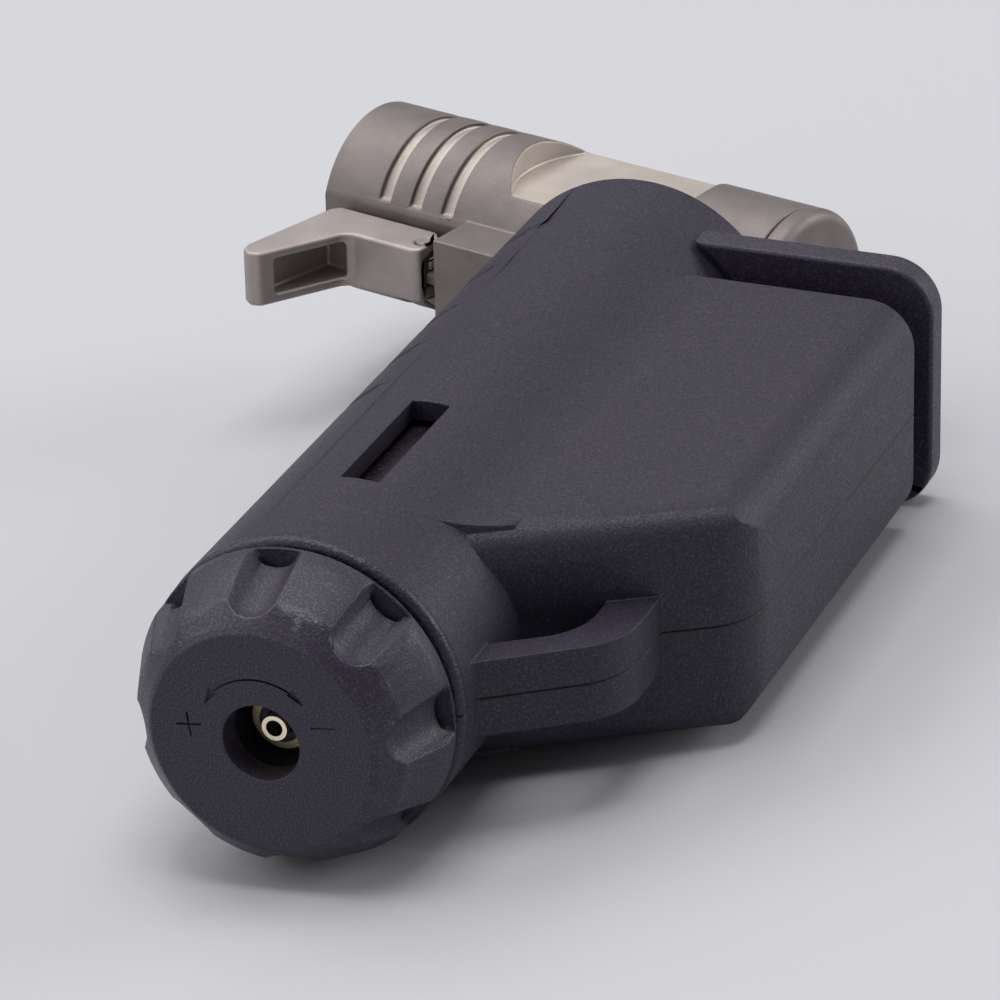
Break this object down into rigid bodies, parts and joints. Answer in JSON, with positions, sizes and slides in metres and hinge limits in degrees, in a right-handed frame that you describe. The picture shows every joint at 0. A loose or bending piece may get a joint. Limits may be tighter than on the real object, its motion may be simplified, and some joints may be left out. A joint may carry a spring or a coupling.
{
  "type": "butane torch",
  "caption": "Pocket butane torch with a split-shell grip, fluted flame knob, thumb button over a piezo block, and a metal burner barrel set across the head.",
  "frame": {"origin": "centre of the refill port's mouth in the flame knob's face", "axes": "+Y along the grip from the flame knob to the burner head, +X to the piezo block and the lanyard loop, +Z out of the shell half that has the fuel window"},
  "size_m": [0.0507, 0.0845, 0.02],
  "materials": {
    "shell_plastic": "fine mould grain",
    "knob_plastic": "fine mould grain on the face, smooth flutes",
    "button_plastic": "fine mould grain",
    "steel": "turned",
    "stem_metal": "turned, pale",
    "brass": "turned",
    "burner_brass": "heat stained",
    "burner_steel": "heat stained",
    "rubber": "smooth",
    "spring_steel": "drawn wire",
    "tank_nylon": "smoked, see-through in thin walls",
    "tank_plastic": "natural",
    "hose_plastic": "flexible, milky",
    "piezo_plastic": "moulded",
    "plunger_plastic": "moulded",
    "wire_jacket": "flexible",
    "head_alloy": "satin, warm nickel tint",
    "ceramic": "glazed"
  },
  "bodies": {
    "housing": {"upper_shell": "shell_plastic", "lower_shell": "shell_plastic", "shell_screws": "steel", "fuel_tank": "tank_nylon", "tank_cap": "tank_plastic", "tank_gasket": "rubber", "outlet_valve": "brass", "valve_spring": "spring_steel", "gas_lever_pin": "steel", "gas_hose": "hose_plastic", "piezo_body": "piezo_plastic", "piezo_spring": "spring_steel", "ignition_wire": "wire_jacket", "head_casting": "head_alloy", "barrel_cap": "head_alloy", "burner_tube": "burner_steel", "flame_holder": "burner_brass", "mixing_tube": "brass", "jet_nozzle": "brass", "electrode_insulator": "ceramic", "spark_electrode": "steel", "lever_pin": "steel", "lever_spring": "spring_steel"},
    "knob": {"adjust_knob": "knob_plastic", "regulator_sleeve": "brass", "stem_seal": "rubber", "stem_spring": "spring_steel"},
    "refill": {"refill_stem": "stem_metal"},
    "button": {"ignition_button": "button_plastic", "piezo_plunger": "plunger_plastic"},
    "gas_lever": {"gas_lever": "steel"},
    "valve": {"valve_pin": "steel"},
    "lock_lever": {"lock_lever": "head_alloy"}
  },
  "joints": [
    {"name": "knob_turn", "type": "hinge", "parent": "housing", "child": "knob", "pos_m": [0, 0, 0], "axis": [0, 1, 0], "range_deg": [-120, 120]},
    {"name": "refill_press", "type": "slide", "parent": "knob", "child": "refill", "axis": [0, 1, 0], "range_m": [0, 0.0012], "stiffness_N_per_m": 1500, "deforming": ["stem_spring"]},
    {"name": "button_press", "type": "slide", "parent": "housing", "child": "button", "axis": [0, -1, 0], "range_m": [0, 0.0028], "stiffness_N_per_m": 2500, "deforming": ["piezo_spring"]},
    {"name": "gas_lever_rock", "type": "hinge", "parent": "housing", "child": "gas_lever", "pos_m": [0.0096, 0.0522, 0], "axis": [0, 0, 1], "range_deg": [-3.5, 0]},
    {"name": "valve_lift", "type": "slide", "parent": "housing", "child": "valve", "axis": [0, 1, 0], "range_m": [0, 0.00066], "deforming": ["valve_spring", "gas_hose"]},
    {"name": "lock_lever_swing", "type": "hinge", "parent": "housing", "child": "lock_lever", "pos_m": [-0.01698, 0.06698, 0], "axis": [0, 0, 1], "range_deg": [0, 12], "stiffness_Nm_per_rad": 0.02, "deforming": ["lever_spring"]}
  ],
  "couplings": [
    {"joint": "gas_lever_rock", "follows": "button_press", "rad_per_m": -21.43},
    {"joint": "valve_lift", "follows": "button_press", "ratio": 0.2321}
  ]
}
